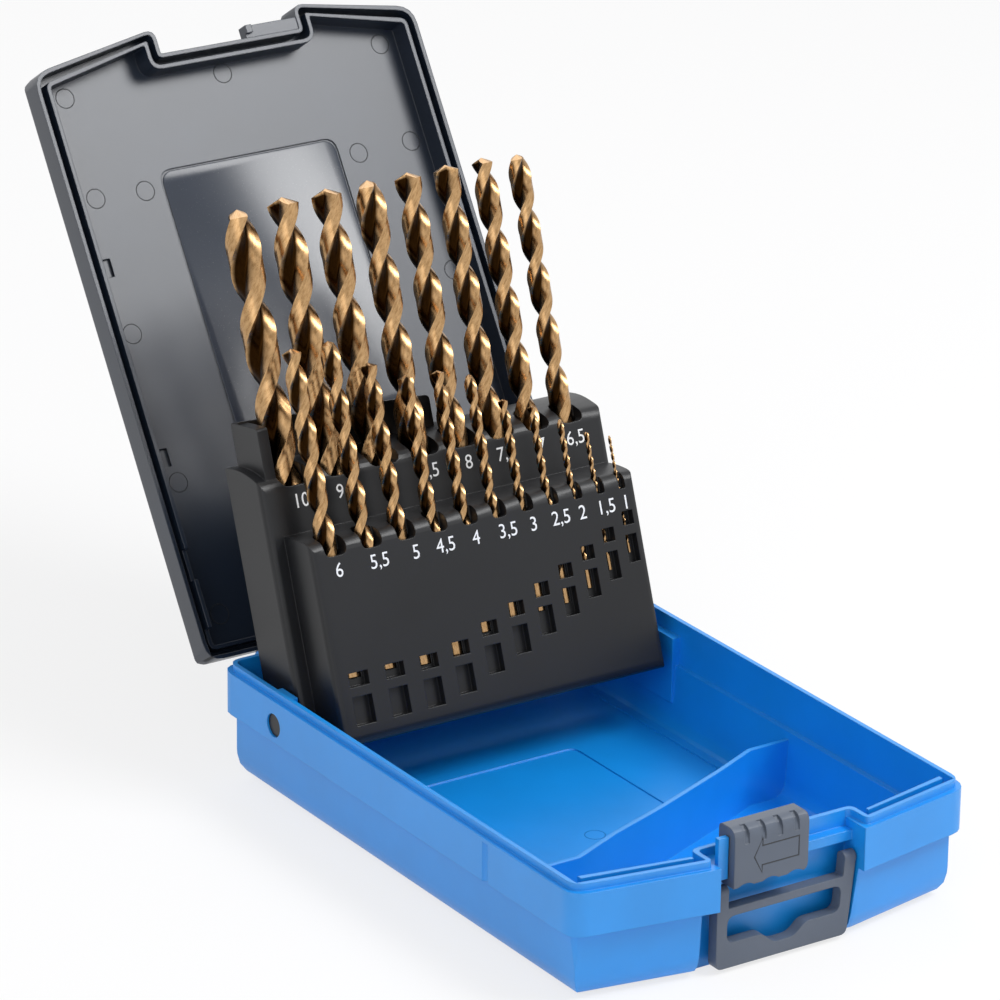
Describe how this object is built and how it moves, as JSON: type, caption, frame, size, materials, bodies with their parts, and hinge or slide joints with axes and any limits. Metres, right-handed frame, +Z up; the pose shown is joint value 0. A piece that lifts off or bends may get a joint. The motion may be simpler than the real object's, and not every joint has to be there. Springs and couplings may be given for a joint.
{
  "type": "drill bit case",
  "caption": "Hinged plastic case with a two-tier folding holder for twist drills, a slide catch and a swing-out hanger, shown open.",
  "frame": {"origin": "centre of the tray's flat underside, between the side walls", "axes": "+Z up out of the tray; -Y towards the front, where the catch and the hanger are; +X to the right seen from the front"},
  "size_m": [0.129, 0.2963, 0.1849],
  "materials": {
    "tray_plastic": "satin, bright blue",
    "lid_plastic": "satin, dark slate blue",
    "holder_plastic": "satin, near black",
    "catch_plastic": "satin, mid grey",
    "drill_steel": "golden bronze temper colour"
  },
  "bodies": {
    "base_tray": {"base_tray": "tray_plastic"},
    "lid": {"lid": "lid_plastic"},
    "drill_holder": {"drill_holder": "holder_plastic"},
    "latch_slider": {"latch_slider": "catch_plastic"},
    "hanger": {"hanger": "catch_plastic"},
    "drill_10": {"drill_10": "drill_steel"},
    "drill_9_5": {"drill_9_5": "drill_steel"},
    "drill_9": {"drill_9": "drill_steel"},
    "drill_8_5": {"drill_8_5": "drill_steel"},
    "drill_8": {"drill_8": "drill_steel"},
    "drill_7_5": {"drill_7_5": "drill_steel"},
    "drill_7": {"drill_7": "drill_steel"},
    "drill_6_5": {"drill_6_5": "drill_steel"},
    "drill_6": {"drill_6": "drill_steel"},
    "drill_5_5": {"drill_5_5": "drill_steel"},
    "drill_5": {"drill_5": "drill_steel"},
    "drill_4_5": {"drill_4_5": "drill_steel"},
    "drill_4": {"drill_4": "drill_steel"},
    "drill_3_5": {"drill_3_5": "drill_steel"},
    "drill_3": {"drill_3": "drill_steel"},
    "drill_2_5": {"drill_2_5": "drill_steel"},
    "drill_2": {"drill_2": "drill_steel"},
    "drill_1_5": {"drill_1_5": "drill_steel"},
    "drill_1": {"drill_1": "drill_steel"}
  },
  "joints": [
    {"name": "lid_hinge", "type": "hinge", "parent": "base_tray", "child": "lid", "pos_m": [0, 0.0911, 0.0305], "axis": [-1, 0, 0], "range_deg": [-122.9, 0]},
    {"name": "holder_pivot", "type": "hinge", "parent": "base_tray", "child": "drill_holder", "pos_m": [0, 0.0597, 0.0254], "axis": [-1, 0, 0], "range_deg": [-109.65, 0]},
    {"name": "latch_slide", "type": "slide", "parent": "base_tray", "child": "latch_slider", "axis": [-1, 0, 0], "range_m": [-0.0186, 0]},
    {"name": "hanger_swing", "type": "hinge", "parent": "base_tray", "child": "hanger", "pos_m": [0, -0.09, 0.0232], "axis": [-1, 0, 0], "range_deg": [0, 90]},
    {"name": "drill_10_pull", "type": "slide", "parent": "drill_holder", "child": "drill_10", "axis": [0, 0.3363, 0.9418], "range_m": [0, 0.05]},
    {"name": "drill_9_5_pull", "type": "slide", "parent": "drill_holder", "child": "drill_9_5", "axis": [0, 0.3363, 0.9418], "range_m": [0, 0.04]},
    {"name": "drill_9_pull", "type": "slide", "parent": "drill_holder", "child": "drill_9", "axis": [0, 0.3363, 0.9418], "range_m": [0, 0.04]},
    {"name": "drill_8_5_pull", "type": "slide", "parent": "drill_holder", "child": "drill_8_5", "axis": [0, 0.3363, 0.9418], "range_m": [0, 0.033]},
    {"name": "drill_8_pull", "type": "slide", "parent": "drill_holder", "child": "drill_8", "axis": [0, 0.3363, 0.9418], "range_m": [0, 0.033]},
    {"name": "drill_7_5_pull", "type": "slide", "parent": "drill_holder", "child": "drill_7_5", "axis": [0, 0.3363, 0.9418], "range_m": [0, 0.025]},
    {"name": "drill_7_pull", "type": "slide", "parent": "drill_holder", "child": "drill_7", "axis": [0, 0.3363, 0.9418], "range_m": [0, 0.025]},
    {"name": "drill_6_5_pull", "type": "slide", "parent": "drill_holder", "child": "drill_6_5", "axis": [0, 0.3363, 0.9418], "range_m": [0, 0.019]},
    {"name": "drill_6_pull", "type": "slide", "parent": "drill_holder", "child": "drill_6", "axis": [0, 0.3363, 0.9418], "range_m": [0, 0.03]},
    {"name": "drill_5_5_pull", "type": "slide", "parent": "drill_holder", "child": "drill_5_5", "axis": [0, 0.3363, 0.9418], "range_m": [0, 0.03]},
    {"name": "drill_5_pull", "type": "slide", "parent": "drill_holder", "child": "drill_5", "axis": [0, 0.3363, 0.9418], "range_m": [0, 0.031]},
    {"name": "drill_4_5_pull", "type": "slide", "parent": "drill_holder", "child": "drill_4_5", "axis": [0, 0.3363, 0.9418], "range_m": [0, 0.031]},
    {"name": "drill_4_pull", "type": "slide", "parent": "drill_holder", "child": "drill_4", "axis": [0, 0.3363, 0.9418], "range_m": [0, 0.026]},
    {"name": "drill_3_5_pull", "type": "slide", "parent": "drill_holder", "child": "drill_3_5", "axis": [0, 0.3363, 0.9418], "range_m": [0, 0.024]},
    {"name": "drill_3_pull", "type": "slide", "parent": "drill_holder", "child": "drill_3", "axis": [0, 0.3363, 0.9418], "range_m": [0, 0.024]},
    {"name": "drill_2_5_pull", "type": "slide", "parent": "drill_holder", "child": "drill_2_5", "axis": [0, 0.3363, 0.9418], "range_m": [0, 0.024]},
    {"name": "drill_2_pull", "type": "slide", "parent": "drill_holder", "child": "drill_2", "axis": [0, 0.3363, 0.9418], "range_m": [0, 0.021]},
    {"name": "drill_1_5_pull", "type": "slide", "parent": "drill_holder", "child": "drill_1_5", "axis": [0, 0.3363, 0.9418], "range_m": [0, 0.017]},
    {"name": "drill_1_pull", "type": "slide", "parent": "drill_holder", "child": "drill_1", "axis": [0, 0.3363, 0.9418], "range_m": [0, 0.013]}
  ],
  "couplings": [
    {"joint": "holder_pivot", "follows": "lid_hinge", "ratio": 0.89219}
  ]
}
